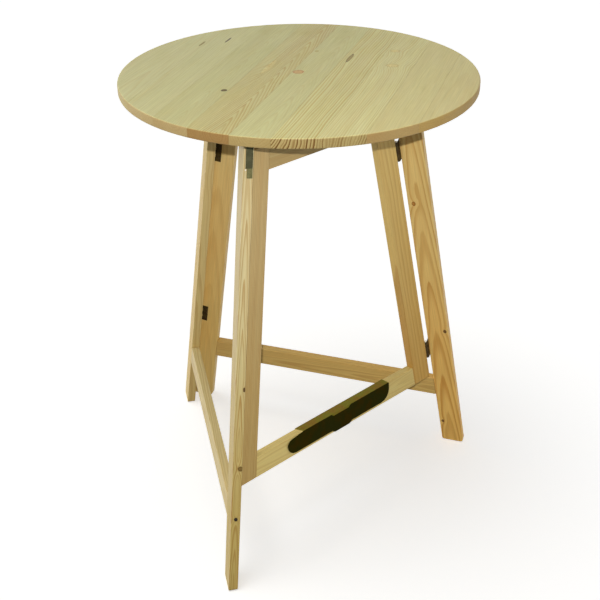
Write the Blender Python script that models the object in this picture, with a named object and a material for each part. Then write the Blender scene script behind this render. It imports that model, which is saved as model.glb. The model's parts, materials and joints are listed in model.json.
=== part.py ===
"""Bar table: a round edge-glued pine top on a base of three leaning pine frames.

The rear frame stands on the floor and carries the other two on butt hinges. The left frame is
hinged to its left end. The right frame is shorter, hangs clear of the floor, and is hinged to
the inner edge of its right leg. The top is lifted off, the left frame is opened outward and the
right frame is folded in against the rear frame.

Units are metres, with +Z up. The front corner points to -Y and the rear frame faces +Y.
"""
import math

import bmesh
import bpy
from mathutils import Matrix, Vector

# Whole table
TABLE_HEIGHT = 1.100
TOP_RADIUS = 0.400
TOP_THICKNESS = 0.0215
TOP_RIM_ROUND = 0.0025
REAR_FRAME_SETBACK = 0.2357
FRAME_LEAN = math.radians(5.3)
FRAME_TURN = math.radians(120.0)
FIT_GAP = 0.0003

# Boards and rails of the frames
BOARD_THICKNESS = 0.0215
BOARD_WIDTH = 0.0572
BOARD_ARRIS = 0.0013
FOOT_ROUND = 0.0065
RAIL_HEIGHT = 0.0535
FOOT_RAIL_LOW = 0.1592
RIGHT_FOOT_RAIL_LOW = 0.2281
RIGHT_FRAME_BELOW_TOP = 0.0692
TENON_LENGTH = 0.030
TENON_HEIGHT = 0.036
TENON_THICKNESS = 0.008

# Lengths of the frames, measured along the floor line of each one
REAR_RIGHT_REACH = 0.4127
REAR_LEFT_REACH = 0.4025
LEFT_SPAN = 0.823
RIGHT_SPAN = 0.747

# Butt hinges
HINGE_HEIGHT = 0.050
KNUCKLES = 5
KNUCKLE_RADIUS = 0.0042
KNUCKLE_GAP = 0.0003
LEAF_WIDTH = 0.0190
LEAF_THICKNESS = 0.0018
PIN_RADIUS = 0.0016
PIN_RUNNING_CLEARANCE = 0.00008
PIN_HEAD_RADIUS = 0.0031
LEFT_PIN_INSET = 0.0029
LEFT_FRAME_SETBACK = 0.0113
RIGHT_PIN_FORWARD = 0.0092
RIGHT_PIN_DEPTH = 0.00165
LEFT_LOWER_HINGE_HEIGHT = 0.308
RIGHT_LOWER_HINGE_HEIGHT = 0.313
LEFT_UPPER_HINGE_DROP = 0.2525
RIGHT_UPPER_HINGE_DROP = 0.1920

# Countersunk screws
SCREW_RADIUS = 0.0014
SCREW_HEAD_RADIUS = 0.0027
SCREW_HEAD_DEPTH = 0.0013
SCREW_LENGTH = 0.014
SCREW_CLEARANCE = 0.0002
LEAF_SCREW_FROM_PIN = 0.0140
LEAF_SCREW_SPACING = 0.030

# Dark metal cover on the foot rail of the right frame, and the plate on the cover's front
COVER_THICKNESS = 0.0012
COVER_TOP_LENGTH = 0.298
COVER_END_SLANT = 0.008
COVER_FRONT_DEPTH = 0.020
COVER_RIGHT_MARGIN = 0.1410
PLATE_THICKNESS = 0.0016
PLATE_NOSE_LENGTH = 0.054
PLATE_NOSE_DROP = 0.008
PLATE_LOW_MARGIN = 0.0085
PLATE_CORNER_ROUND = 0.030
PLATE_NOSE_LOW_ROUND = 0.025
PLATE_NOSE_HIGH_ROUND = 0.017
PLATE_SHOULDER_ROUND = 0.045
PLATE_WAIST_LENGTH = 0.052
PLATE_WAIST_DROP = 0.0065
PLATE_WAIST_SLOPE = 0.008
PLATE_WAIST_FROM_RIGHT = 0.171

# Round top
STAVE_EDGE_shares = (-1.0, -0.705, -0.487, -0.264, -0.034, 0.173, 0.384, 0.595, 0.805, 1.0)
RIM_STEP = math.radians(3.75)
BATTEN_WIDTH = 0.045
BATTEN_THICKNESS = 0.022
BATTEN_CLEARANCE = 0.007
BATTEN_END_CHAMFER = 0.012
BATTEN_RIGHT_END = 0.290
FRONT_BATTEN_SPACING = 0.225
BATTEN_SCREW_RADIUS = 0.0022
BATTEN_SCREW_HEAD_RADIUS = 0.0044
BATTEN_SCREW_HEAD_DEPTH = 0.0028
BATTEN_SCREW_LENGTH = 0.034

# Strap that hangs from the top in front of the left frame's front end
STRAP_WIDTH = 0.0145
STRAP_TAIL_WIDTH = 0.0115
STRAP_THICKNESS = 0.0025
STRAP_DROP = 0.0995
STRAP_SHOULDER_DROP = 0.0800
STRAP_FLANGE_LENGTH = 0.036
STRAP_SIDE_INSET = 0.0047
STRAP_STANDOFF = 0.0012
STRAP_SCREW_LENGTH = 0.016
STUD_RADIUS = 0.0010
STUD_HEAD_RADIUS = 0.0018
STUD_HEAD_HEIGHT = 0.0015
STUD_LENGTH = 0.014
STUD_UNDER_SHOULDER = 0.0036
STUD_FROM_FACE = 0.0052

# Facets of round pieces
BARREL_SIDES = 20
SCREW_SIDES = 10
CORNER_STEPS = 4
CUT_OVERRUN = 0.004

# Worked out from the sizes above
UNDERSIDE = TABLE_HEIGHT - TOP_THICKNESS
IN_PLANE_LEAN = 2.0 * math.sin(FRAME_TURN / 2.0) * math.sin(FRAME_LEAN)
ACROSS_CORNER = math.cos(math.atan(IN_PLANE_LEAN))
LEG_WIDTH = BOARD_WIDTH / ACROSS_CORNER
PIN_TO_WOOD = KNUCKLE_RADIUS + FIT_GAP
PIN_TO_WOOD_LEVEL = PIN_TO_WOOD / ACROSS_CORNER
UNDER_TOP = UNDERSIDE - FIT_GAP
STRAP_LOW = UNDERSIDE - STRAP_DROP
STRAP_SHOULDER = UNDERSIDE - STRAP_SHOULDER_DROP
TAN_LEAN = math.tan(FRAME_LEAN)


def clear_scene():
    """Remove every object that is already in the file."""
    for item in list(bpy.data.objects):
        bpy.data.objects.remove(item, do_unlink=True)


def make_material(name, colour, roughness, metallic=0.0):
    """One plain material for a sub-part."""
    material = bpy.data.materials.new(name)
    material.use_nodes = True
    shader = material.node_tree.nodes["Principled BSDF"]
    shader.inputs["Base Color"].default_value = (*colour, 1.0)
    shader.inputs["Roughness"].default_value = roughness
    shader.inputs["Metallic"].default_value = metallic
    return material


def pine_material(name, tone):
    """Oiled pine, lighter or darker by tone."""
    return make_material(name, (0.60 * tone, 0.44 * tone, 0.21 * tone), 0.55)


def dark_metal(name):
    """Browned steel of the hinges, the strap and the cover."""
    return make_material(name, (0.055, 0.052, 0.030), 0.42, 0.85)


def brass_material(name):
    """Bright brass of the pin heads and the stud."""
    return make_material(name, (0.72, 0.56, 0.26), 0.28, 1.0)


def screw_material(name):
    """Dull steel of the small screws."""
    return make_material(name, (0.30, 0.28, 0.22), 0.40, 0.90)


def add_object(name, mesh, parent=None, material=None, matrix=None):
    """Link a mesh to the scene under a parent, with its placement there."""
    item = bpy.data.objects.new(name, mesh)
    bpy.context.scene.collection.objects.link(item)
    item.parent = parent
    if matrix is not None:
        item.matrix_local = matrix
    if material is not None:
        mesh.materials.append(material)
    return item


def add_empty(name, parent=None, matrix=None):
    """An empty that carries the pieces of one body."""
    item = bpy.data.objects.new(name, None)
    bpy.context.scene.collection.objects.link(item)
    item.empty_display_size = BOARD_WIDTH
    item.parent = parent
    if matrix is not None:
        item.matrix_local = matrix
    return item


def mesh_from(name, bm):
    """Close a bmesh into a mesh with its faces pointing out."""
    bmesh.ops.recalc_face_normals(bm, faces=bm.faces)
    mesh = bpy.data.meshes.new(name)
    bm.to_mesh(mesh)
    bm.free()
    return mesh


def loft(name, rings, round_piece=False):
    """A closed solid through rings of points with as many points each."""
    bm = bmesh.new()
    layers = [[bm.verts.new(point) for point in ring] for ring in rings]
    for lower, upper in zip(layers, layers[1:]):
        count = len(lower)
        for index in range(count):
            after = (index + 1) % count
            bm.faces.new((lower[index], lower[after], upper[after], upper[index]))
    bm.faces.new(list(reversed(layers[0])))
    bm.faces.new(layers[-1])
    mesh = mesh_from(name, bm)
    if round_piece:
        mesh.shade_smooth()
        mesh.set_sharp_from_angle(angle=math.radians(40.0))
    return mesh


def prism(name, outline, low, high):
    """An outline in X and Y, extruded from low to high along Z."""
    return loft(name, [[(x, y, low) for x, y in outline], [(x, y, high) for x, y in outline]])


def turned(name, profile, sides):
    """A solid turned about Z from pairs of radius and height, the lowest first."""
    rings = []
    for radius, height in profile:
        turn = [math.tau * step / sides for step in range(sides)]
        rings.append([(radius * math.cos(a), radius * math.sin(a), height) for a in turn])
    return loft(name, rings, round_piece=True)


def rounded_outline(corners):
    """A polygon whose corners, given as x, y and radius, are rounded by arcs."""
    outline = []
    count = len(corners)
    for index, (x, y, radius) in enumerate(corners):
        here = Vector((x, y))
        if radius <= 0:
            outline.append((x, y))
            continue
        before = (Vector(corners[index - 1][:2]) - here).normalized()
        after = (Vector(corners[(index + 1) % count][:2]) - here).normalized()
        half = before.angle(after) / 2.0
        reach = radius / math.tan(half)
        centre = here + (before + after).normalized() * (radius / math.sin(half))
        start = here + before * reach - centre
        sweep = start.angle_signed(here + after * reach - centre)
        for step in range(CORNER_STEPS + 1):
            turn = -sweep * step / CORNER_STEPS
            spot = centre + Matrix.Rotation(turn, 2) @ start
            outline.append((spot.x, spot.y))
    return outline


def cut(item, cutter):
    """Cut one object from another and keep the cutter as a hidden guide."""
    cutter.hide_render = True
    cutter.display_type = "WIRE"
    modifier = item.modifiers.new("cut " + cutter.name, "BOOLEAN")
    modifier.operation = "DIFFERENCE"
    modifier.solver = "EXACT"
    modifier.object = cutter


def join_to(item, other):
    """Fuse a hidden helper shape to an object."""
    other.hide_render = True
    other.display_type = "WIRE"
    modifier = item.modifiers.new("with " + other.name, "BOOLEAN")
    modifier.operation = "UNION"
    modifier.solver = "EXACT"
    modifier.object = other


def ease_arrises(item):
    """Round every sharp edge of a sawn piece a little."""
    modifier = item.modifiers.new("arris", "BEVEL")
    modifier.width = BOARD_ARRIS
    modifier.segments = 2
    modifier.limit_method = "ANGLE"
    modifier.angle_limit = math.radians(50.0)


def join_meshes(name, meshes_and_places):
    """One mesh that holds several separate solids, each moved to its place."""
    bm = bmesh.new()
    for mesh, place in meshes_and_places:
        part = mesh.copy()
        part.transform(place)
        bm.from_mesh(part)
        bpy.data.meshes.remove(part)
    joined = bpy.data.meshes.new(name)
    bm.to_mesh(joined)
    bm.free()
    return joined


class Frame:
    """The plane of one leaning frame: X along it, Y up its slope and Z out of the table."""

    def __init__(self, empty, inner_face):
        self.empty = empty
        self.inner = inner_face
        self.outer = inner_face + BOARD_THICKNESS
        self.middle = inner_face + BOARD_THICKNESS / 2.0

    def height_at(self, level, depth):
        """The slope height at which a level plane meets a given depth."""
        return (level - depth * math.sin(FRAME_LEAN)) / math.cos(FRAME_LEAN)


def frame_matrix(facing, location):
    """Placement of a frame whose outer face looks towards the angle facing."""
    lean = Matrix.Rotation(math.pi / 2.0 - FRAME_LEAN, 4, "X")
    turn = Matrix.Rotation(facing + math.pi / 2.0, 4, "Z")
    return Matrix.Translation(location) @ turn @ lean


def slab(name, frame, ends, heights, depths, rounding=(0.0, 0.0)):
    """A board in a frame's plane.

    ends holds two pairs of floor place and slope, heights holds two rules that give the slope
    height at a depth, and rounding holds the corner radii at the low and the high end.
    """
    (start, start_slope), (stop, stop_slope) = ends
    low_rule, high_rule = heights
    rings = []
    for depth in depths:
        low = low_rule(depth)
        high = high_rule(depth)
        corners = (
            (start + start_slope * low, low, rounding[0]),
            (stop + stop_slope * low, low, rounding[0]),
            (stop + stop_slope * high, high, rounding[1]),
            (start + start_slope * high, high, rounding[1]),
        )
        rings.append([(x, y, depth) for x, y in rounded_outline(corners)])
    return loft(name, rings)


def along(height):
    """A cut that follows the frame, at one slope height."""
    return lambda depth: height


def level(frame, height):
    """A cut that is level in the table."""
    return lambda depth: frame.height_at(height, depth)


def mortise_from(frame, shoulder, slope, direction, low, high):
    """Cutter for the pocket that takes a rail's tenon, in the frame's plane."""
    middle = (low + high) / 2.0
    half = TENON_HEIGHT / 2.0 + FIT_GAP
    mouth = shoulder - direction * CUT_OVERRUN
    bottom = shoulder + direction * (TENON_LENGTH + 2.0 * FIT_GAP)
    ends = sorted((mouth, bottom))
    depth = TENON_THICKNESS / 2.0 + FIT_GAP
    mesh = slab(
        "mortise",
        frame,
        ((ends[0], slope), (ends[1], slope)),
        (along(middle - half), along(middle + half)),
        (frame.middle - depth, frame.middle + depth),
    )
    return add_object("mortise_cutter", mesh, frame.empty)


def tenon_on(rail, frame, shoulder, slope, direction, low, high):
    """Helper shape for the tenon at one end of a rail, fused to the rail."""
    middle = (low + high) / 2.0
    half = TENON_HEIGHT / 2.0
    root = shoulder - direction * CUT_OVERRUN
    tip = shoulder + direction * TENON_LENGTH
    ends = sorted((root, tip))
    depth = TENON_THICKNESS / 2.0
    mesh = slab(
        "tenon",
        frame,
        ((ends[0], slope), (ends[1], slope)),
        (along(middle - half), along(middle + half)),
        (frame.middle - depth, frame.middle + depth),
    )
    join_to(rail, add_object("tenon_helper", mesh, frame.empty))


def build_leg(name, frame, material, ends, heights, rounding):
    """One leg board with eased arrises."""
    depths = (frame.inner, frame.outer)
    mesh = slab(name, frame, ends, heights, depths, rounding)
    leg = add_object(name, mesh, frame.empty, material)
    ease_arrises(leg)
    return leg


def build_rail(name, frame, material, legs, edges, low, high, top_rule):
    """One rail between two legs, tenoned into both."""
    (start, start_slope), (stop, stop_slope) = edges
    ends = ((start + FIT_GAP, start_slope), (stop - FIT_GAP, stop_slope))
    depths = (frame.inner, frame.outer)
    mesh = slab(name, frame, ends, (along(low), top_rule), depths)
    rail = add_object(name, mesh, frame.empty, material)
    ease_arrises(rail)
    tenon_on(rail, frame, start, start_slope, -1, low, high)
    tenon_on(rail, frame, stop, stop_slope, 1, low, high)
    cut(legs[0], mortise_from(frame, start, start_slope, -1, low, high))
    cut(legs[1], mortise_from(frame, stop, stop_slope, 1, low, high))
    return rail


def build_frame(prefix, leg_names, frame, outer_ends, foot, foot_low, rail_tops, tones):
    """Two legs and two rails. outer_ends gives the floor places of the frame's two ends."""
    start, stop = outer_ends
    lean = IN_PLANE_LEAN
    leg_low, leg_high, rounding = foot
    top_low, top_high, top_rule = rail_tops
    first = build_leg(
        prefix + leg_names[0],
        frame,
        pine_material(prefix + leg_names[0], tones[0]),
        ((start, lean), (start + LEG_WIDTH, lean)),
        (leg_low, leg_high),
        rounding,
    )
    second = build_leg(
        prefix + leg_names[1],
        frame,
        pine_material(prefix + leg_names[1], tones[1]),
        ((stop - LEG_WIDTH, -lean), (stop, -lean)),
        (leg_low, leg_high),
        rounding,
    )
    edges = ((start + LEG_WIDTH, lean), (stop - LEG_WIDTH, -lean))
    foot_high = foot_low + RAIL_HEIGHT
    build_rail(
        prefix + "foot_rail",
        frame,
        pine_material(prefix + "foot_rail", tones[2]),
        (first, second),
        edges,
        foot_low,
        foot_high,
        along(foot_high),
    )
    build_rail(
        prefix + "top_rail",
        frame,
        pine_material(prefix + "top_rail", tones[3]),
        (first, second),
        edges,
        top_low,
        top_high,
        top_rule,
    )
    return first, second


def rear_frame(root):
    """The frame that carries the other two, with its middle near the table's axis."""
    place = frame_matrix(math.pi / 2.0, Vector((0, REAR_FRAME_SETBACK, 0)))
    frame = Frame(add_empty("rear_frame", root, place), -BOARD_THICKNESS)
    top_high = frame.height_at(UNDER_TOP, frame.outer)
    legs = build_frame(
        "rear_",
        ("right_leg", "left_leg"),
        frame,
        (-REAR_RIGHT_REACH, REAR_LEFT_REACH),
        (level(frame, 0), level(frame, UNDER_TOP), (FOOT_ROUND, 0.0)),
        FOOT_RAIL_LOW,
        (top_high - RAIL_HEIGHT, top_high, level(frame, UNDER_TOP)),
        (0.98, 1.0, 0.93, 0.95),
    )
    return frame, legs


def left_frame(root, pin_point):
    """The full-height frame on the left, with its empty on the left hinges' axis."""
    place = frame_matrix(math.pi / 2.0 + FRAME_TURN, pin_point)
    frame = Frame(add_empty("left_frame_axis", root, place), PIN_TO_WOOD)
    top_high = frame.height_at(UNDER_TOP, frame.outer)
    legs = build_frame(
        "left_",
        ("rear_leg", "front_leg"),
        frame,
        (-LEFT_FRAME_SETBACK, LEFT_SPAN - LEFT_FRAME_SETBACK),
        (level(frame, 0), level(frame, UNDER_TOP), (FOOT_ROUND, 0.0)),
        FOOT_RAIL_LOW,
        (top_high - RAIL_HEIGHT, top_high, level(frame, UNDER_TOP)),
        (1.02, 1.06, 1.0, 0.95),
    )
    return frame, legs


def right_frame(root, pin_point):
    """The short frame on the right, with its empty on the right hinges' axis."""
    place = frame_matrix(math.pi / 2.0 - FRAME_TURN, pin_point)
    inner_face = RIGHT_PIN_DEPTH - BOARD_THICKNESS
    frame = Frame(add_empty("right_frame_axis", root, place), inner_face)
    top_high = frame.height_at(UNDERSIDE, frame.outer) - RIGHT_FRAME_BELOW_TOP
    legs = build_frame(
        "right_",
        ("front_leg", "rear_leg"),
        frame,
        (-RIGHT_SPAN - PIN_TO_WOOD_LEVEL, -PIN_TO_WOOD_LEVEL),
        (along(RIGHT_FOOT_RAIL_LOW), along(top_high), (0.0, 0.0)),
        RIGHT_FOOT_RAIL_LOW,
        (top_high - RAIL_HEIGHT, top_high, along(top_high)),
        (0.96, 0.99, 0.97, 0.92),
    )
    return frame, legs


def knuckle_spans(odd):
    """The spans along the pin of a leaf's own knuckles, or of the other leaf's."""
    pitch = HINGE_HEIGHT / KNUCKLES
    low = -HINGE_HEIGHT / 2.0
    spans = []
    for index in range(KNUCKLES):
        if (index % 2 == 1) == odd:
            spans.append((low + index * pitch, low + (index + 1) * pitch))
    return spans


def leaf_mesh(name, odd):
    """The flat of a hinge leaf, notched where the other leaf's knuckles turn.

    X points to the wood, Y along the leaf away from the pin and Z along the pin.
    """
    half = HINGE_HEIGHT / 2.0
    clear = KNUCKLE_RADIUS + FIT_GAP
    outline = [(LEAF_WIDTH, half), (LEAF_WIDTH, -half)]
    spans = sorted(knuckle_spans(odd) + knuckle_spans(not odd))
    for low, high in spans:
        own = (low, high) in knuckle_spans(odd)
        reach = 0.0 if own else clear
        low_gap = 0.0 if low <= -half or not own else KNUCKLE_GAP / 2.0
        high_gap = 0.0 if high >= half or not own else KNUCKLE_GAP / 2.0
        if not own:
            low_gap = 0.0 if low <= -half else -KNUCKLE_GAP / 2.0
            high_gap = 0.0 if high >= half else -KNUCKLE_GAP / 2.0
        outline.append((reach, low + low_gap))
        outline.append((reach, high - high_gap))
    inner = KNUCKLE_RADIUS - LEAF_THICKNESS
    rings = [[(depth, y, z) for y, z in outline] for depth in (inner, KNUCKLE_RADIUS)]
    return loft(name, rings)


def screw_mesh(name, radius, head_radius, head_depth, length, clearance=0.0):
    """A countersunk screw along -Z, its head level with Z = 0."""
    lift = CUT_OVERRUN if clearance > 0 else 0.0
    profile = [
        (radius + clearance, -length - clearance),
        (radius + clearance, -head_depth - clearance),
        (head_radius + clearance, 0.0),
    ]
    if lift > 0:
        profile.append((head_radius + clearance, lift))
    return turned(name, profile, SCREW_SIDES)


def leaf_screw_places():
    """Placements of a leaf's two screws in the leaf's own axes."""
    surface = KNUCKLE_RADIUS - LEAF_THICKNESS
    into_wood = Matrix.Rotation(-math.pi / 2.0, 4, "Y")
    places = []
    for side in (-1, 1):
        spot = Vector((surface, LEAF_SCREW_FROM_PIN, side * LEAF_SCREW_SPACING / 2.0))
        places.append(Matrix.Translation(spot) @ into_wood)
    return places


def build_leaf(name, parent, matrix, odd, leg):
    """One hinge leaf with its knuckles, bore and screw holes, and its screws in the leg."""
    leaf = add_object(name, leaf_mesh(name, odd), parent, dark_metal(name), matrix)
    barrels = []
    for low, high in knuckle_spans(odd):
        low_gap = 0.0 if low <= -HINGE_HEIGHT / 2.0 else KNUCKLE_GAP / 2.0
        high_gap = 0.0 if high >= HINGE_HEIGHT / 2.0 else KNUCKLE_GAP / 2.0
        profile = [(KNUCKLE_RADIUS, low + low_gap), (KNUCKLE_RADIUS, high - high_gap)]
        barrels.append((turned("barrel", profile, BARREL_SIDES), Matrix.Identity(4)))
    knuckles = join_meshes("knuckles", barrels)
    join_to(leaf, add_object(name + "_knuckles", knuckles, parent, None, matrix))
    bore = PIN_RADIUS + PIN_RUNNING_CLEARANCE
    reach = HINGE_HEIGHT / 2.0 + CUT_OVERRUN
    bore_mesh = turned("bore", [(bore, -reach), (bore, reach)], BARREL_SIDES)
    cut(leaf, add_object(name + "_bore", bore_mesh, parent, None, matrix))
    sizes = (SCREW_RADIUS, SCREW_HEAD_RADIUS, SCREW_HEAD_DEPTH, SCREW_LENGTH)
    screw = screw_mesh("screw", *sizes)
    hole = screw_mesh("hole", *sizes, clearance=SCREW_CLEARANCE)
    holes = join_meshes("holes", [(hole, place) for place in leaf_screw_places()])
    cutter = add_object(name + "_screw_holes", holes, parent, None, matrix)
    cut(leaf, cutter)
    cut(leg, cutter)
    for index, place in enumerate(leaf_screw_places()):
        own = name + "_screw_" + str(index + 1)
        add_object(own, screw.copy(), parent, screw_material(own), matrix @ place)


def build_pin(name, parent, matrix):
    """A hinge pin with a domed head that stands on the top knuckle."""
    half = HINGE_HEIGHT / 2.0
    head = PIN_HEAD_RADIUS
    profile = [(PIN_RADIUS, -half), (PIN_RADIUS, half + FIT_GAP)]
    for step in range(CORNER_STEPS + 1):
        turn = math.pi / 2.0 * step / (CORNER_STEPS + 1)
        profile.append((head * math.cos(turn), half + FIT_GAP + head * math.sin(turn)))
    return add_object(name, turned(name, profile, BARREL_SIDES), parent, brass_material(name), matrix)


def axes_matrix(x_axis, y_axis, origin):
    """Placement with given X and Y directions."""
    z_axis = x_axis.cross(y_axis)
    columns = Matrix((x_axis, y_axis, z_axis)).transposed()
    return Matrix.Translation(origin) @ columns.to_4x4()


def on_axis(pin_point, direction, height):
    """The point of a leaning hinge axis at a height above the floor."""
    return pin_point + direction * (height / direction.z)


def world_directions(frame, lean_sign):
    """The directions along the hinge line, across it in the frame and out of the frame."""
    turn = frame.empty.matrix_world.to_3x3()
    line = (turn @ Vector((lean_sign * IN_PLANE_LEAN, 1, 0))).normalized()
    out = turn @ Vector((0, 0, 1))
    across = line.cross(out)
    return line, across, out


def leaf_in(frame, x_axis, y_axis, point):
    """A leaf's placement in the axes of the frame that carries it."""
    inverse = frame.empty.matrix_world.inverted()
    return inverse @ axes_matrix(x_axis, y_axis, point)


def build_hinge(name, place, rear, moving):
    """One butt hinge. Each side gives its frame, its leg and its leaf's two directions."""
    rear_side, rear_leg, rear_x, rear_y = rear
    moving_side, moving_leg, moving_x, moving_y = moving
    rear_matrix = leaf_in(rear_side, rear_x, rear_y, place)
    moving_matrix = leaf_in(moving_side, moving_x, moving_y, place)
    build_leaf(name + "_rear_leaf", rear_side.empty, rear_matrix, False, rear_leg)
    build_leaf(name + "_moving_leaf", moving_side.empty, moving_matrix, True, moving_leg)
    line = rear_x.cross(rear_y)
    upright = rear_matrix
    if line.z < 0:
        upright = rear_matrix @ Matrix.Rotation(math.pi, 4, "X")
    build_pin(name + "_pin", rear_side.empty, upright)


def build_cover(frame):
    """The metal cover folded over the top of the right frame's foot rail and part of its front."""
    right_end = -PIN_TO_WOOD_LEVEL - LEG_WIDTH - COVER_RIGHT_MARGIN
    left_end = right_end - COVER_TOP_LENGTH
    front = frame.outer + FIT_GAP
    high = RIGHT_FOOT_RAIL_LOW + RAIL_HEIGHT + FIT_GAP
    flange_ends = ((left_end, 0.0), (right_end, 0.0))
    flange_heights = (along(high - COVER_FRONT_DEPTH), along(high + COVER_THICKNESS))
    flange_depths = (front, front + COVER_THICKNESS)
    mesh = slab("foot_rest_cover", frame, flange_ends, flange_heights, flange_depths)
    cover = add_object("foot_rest_cover", mesh, frame.empty, dark_metal("foot_rest_cover"))
    flap = (
        (left_end - COVER_END_SLANT, frame.inner),
        (right_end, frame.inner),
        (right_end, front + COVER_THICKNESS / 2.0),
        (left_end, front + COVER_THICKNESS / 2.0),
    )
    rings = [[(x, w, e) for x, e in flap] for w in (high, high + COVER_THICKNESS)]
    join_to(cover, add_object("cover_flap", loft("flap", rings), frame.empty))
    build_plate(frame, right_end, left_end, front + COVER_THICKNESS + FIT_GAP)


def build_plate(frame, right_end, left_end, back):
    """The dark plate on the cover's front, its middle stepped down and its left end a nose."""
    low = RIGHT_FOOT_RAIL_LOW + PLATE_LOW_MARGIN
    high = RIGHT_FOOT_RAIL_LOW + RAIL_HEIGHT + COVER_THICKNESS + FIT_GAP
    nose = left_end - PLATE_NOSE_LENGTH
    waist = right_end - PLATE_WAIST_FROM_RIGHT
    half = PLATE_WAIST_LENGTH / 2.0
    slope = PLATE_WAIST_SLOPE
    drop = PLATE_WAIST_DROP
    corners = (
        (nose, low, PLATE_NOSE_LOW_ROUND),
        (waist - half - slope, low, 0.0),
        (waist - half, low - drop, 0.0),
        (waist + half, low - drop, 0.0),
        (waist + half + slope, low, 0.0),
        (right_end, low, PLATE_CORNER_ROUND),
        (right_end, high, 0.0),
        (waist + half + slope, high, 0.0),
        (waist + half, high - drop, 0.0),
        (waist - half, high - drop, 0.0),
        (waist - half - slope, high, 0.0),
        (left_end, high, PLATE_SHOULDER_ROUND),
        (nose, high - PLATE_NOSE_DROP, PLATE_NOSE_HIGH_ROUND),
    )
    name = "foot_rest_plate"
    mesh = prism(name, rounded_outline(corners), back, back + PLATE_THICKNESS)
    add_object(name, mesh, frame.empty, dark_metal(name))


def stave_outline(left, right):
    """The outline of one stave of the round top, between two lines along Y."""
    def arc(first, last, sign):
        steps = max(2, math.ceil(abs(last - first) / RIM_STEP))
        turns = [first + (last - first) * step / steps for step in range(steps + 1)]
        return [(TOP_RADIUS * math.cos(a), sign * TOP_RADIUS * math.sin(a)) for a in turns]

    def turn_at(x):
        return math.acos(max(-1.0, min(1.0, x / TOP_RADIUS)))

    upper = arc(turn_at(right), turn_at(left), 1)
    lower = arc(turn_at(left), turn_at(right), -1)
    points = upper + lower
    outline = []
    for point in points:
        if not outline or (Vector(point) - Vector(outline[-1])).length > FIT_GAP:
            outline.append(point)
    if (Vector(outline[0]) - Vector(outline[-1])).length < FIT_GAP:
        outline.pop()
    return outline


def build_stave(name, top, left, right, material):
    """One stave with the top's rim rounded over on both faces."""
    outline = stave_outline(left, right)
    bm = bmesh.new()
    bm.from_mesh(prism(name, outline, -TOP_THICKNESS, 0.0))
    rim = []
    for edge in bm.edges:
        flat = abs(edge.verts[0].co.z - edge.verts[1].co.z) < FIT_GAP
        on_rim = all(
            abs(vert.co.xy.length - TOP_RADIUS) < FIT_GAP for vert in edge.verts
        )
        straight = abs(edge.verts[0].co.x - edge.verts[1].co.x) < FIT_GAP
        long_straight = straight and edge.calc_length() > TOP_RADIUS * RIM_STEP * 2.0
        if flat and on_rim and not long_straight:
            rim.append(edge)
    bmesh.ops.bevel(
        bm, geom=rim, offset=TOP_RIM_ROUND, segments=2, profile=0.5, affect="EDGES"
    )
    return add_object(name, mesh_from(name, bm), top, material)


def build_top(root):
    """The staves of the round top, on an empty that lifts with them."""
    top = add_empty("top_lift", root, Matrix.Translation((0, 0, TABLE_HEIGHT)))
    staves = []
    edges = [share * TOP_RADIUS for share in STAVE_EDGE_shares]
    for index, (left, right) in enumerate(zip(edges, edges[1:])):
        name = "top_stave_" + str(index + 1)
        tone = 1.05 + 0.03 * math.sin(2.1 * index)
        inner_left = left if index == 0 else left + FIT_GAP / 2.0
        inner_right = right if index == len(edges) - 2 else right - FIT_GAP / 2.0
        stave = build_stave(name, top, inner_left, inner_right, pine_material(name, tone))
        staves.append((stave, left, right))
    return top, staves


def batten_spans():
    """Front edge, rear edge and left end of each batten, in the top's axes."""
    inner = REAR_FRAME_SETBACK - UNDERSIDE * TAN_LEAN - BOARD_THICKNESS / math.cos(FRAME_LEAN)
    rear_edge = inner - BATTEN_CLEARANCE
    corner = REAR_LEFT_REACH - IN_PLANE_LEAN * UNDERSIDE / math.cos(FRAME_LEAN)
    spans = []
    for back in (rear_edge, rear_edge - FRONT_BATTEN_SPACING):
        front = back - BATTEN_WIDTH
        left = -(corner - (inner - front) / math.tan(FRAME_TURN / 2.0) - BATTEN_CLEARANCE)
        spans.append((front, back, left))
    return spans


def round_headed_screw(name, clearance=0.0):
    """A round-headed screw along -Z, whose head stands above Z = 0."""
    radius = BATTEN_SCREW_RADIUS + clearance
    profile = [(radius, -BATTEN_SCREW_LENGTH - clearance)]
    if clearance > 0:
        profile.append((radius, -BATTEN_THICKNESS / 2.0))
        return turned(name, profile, SCREW_SIDES)
    profile.append((radius, -CUT_OVERRUN))
    profile.append((BATTEN_SCREW_HEAD_RADIUS, -CUT_OVERRUN))
    for step in range(CORNER_STEPS + 1):
        turn = math.pi / 2.0 * step / (CORNER_STEPS + 1)
        rise = BATTEN_SCREW_HEAD_DEPTH * math.sin(turn)
        profile.append((BATTEN_SCREW_HEAD_RADIUS * math.cos(turn), rise))
    return turned(name, profile, SCREW_SIDES)


def batten_mesh(name, front, back, left, surface):
    """A batten whose lower ends are cut off at a slant."""
    chamfer = BATTEN_END_CHAMFER
    lower = surface - BATTEN_THICKNESS
    side = (
        (left, surface),
        (left, lower + chamfer),
        (left + chamfer, lower),
        (BATTEN_RIGHT_END - chamfer, lower),
        (BATTEN_RIGHT_END, lower + chamfer),
        (BATTEN_RIGHT_END, surface),
    )
    return loft(name, [[(x, y, z) for x, z in side] for y in (front, back)])


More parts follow.
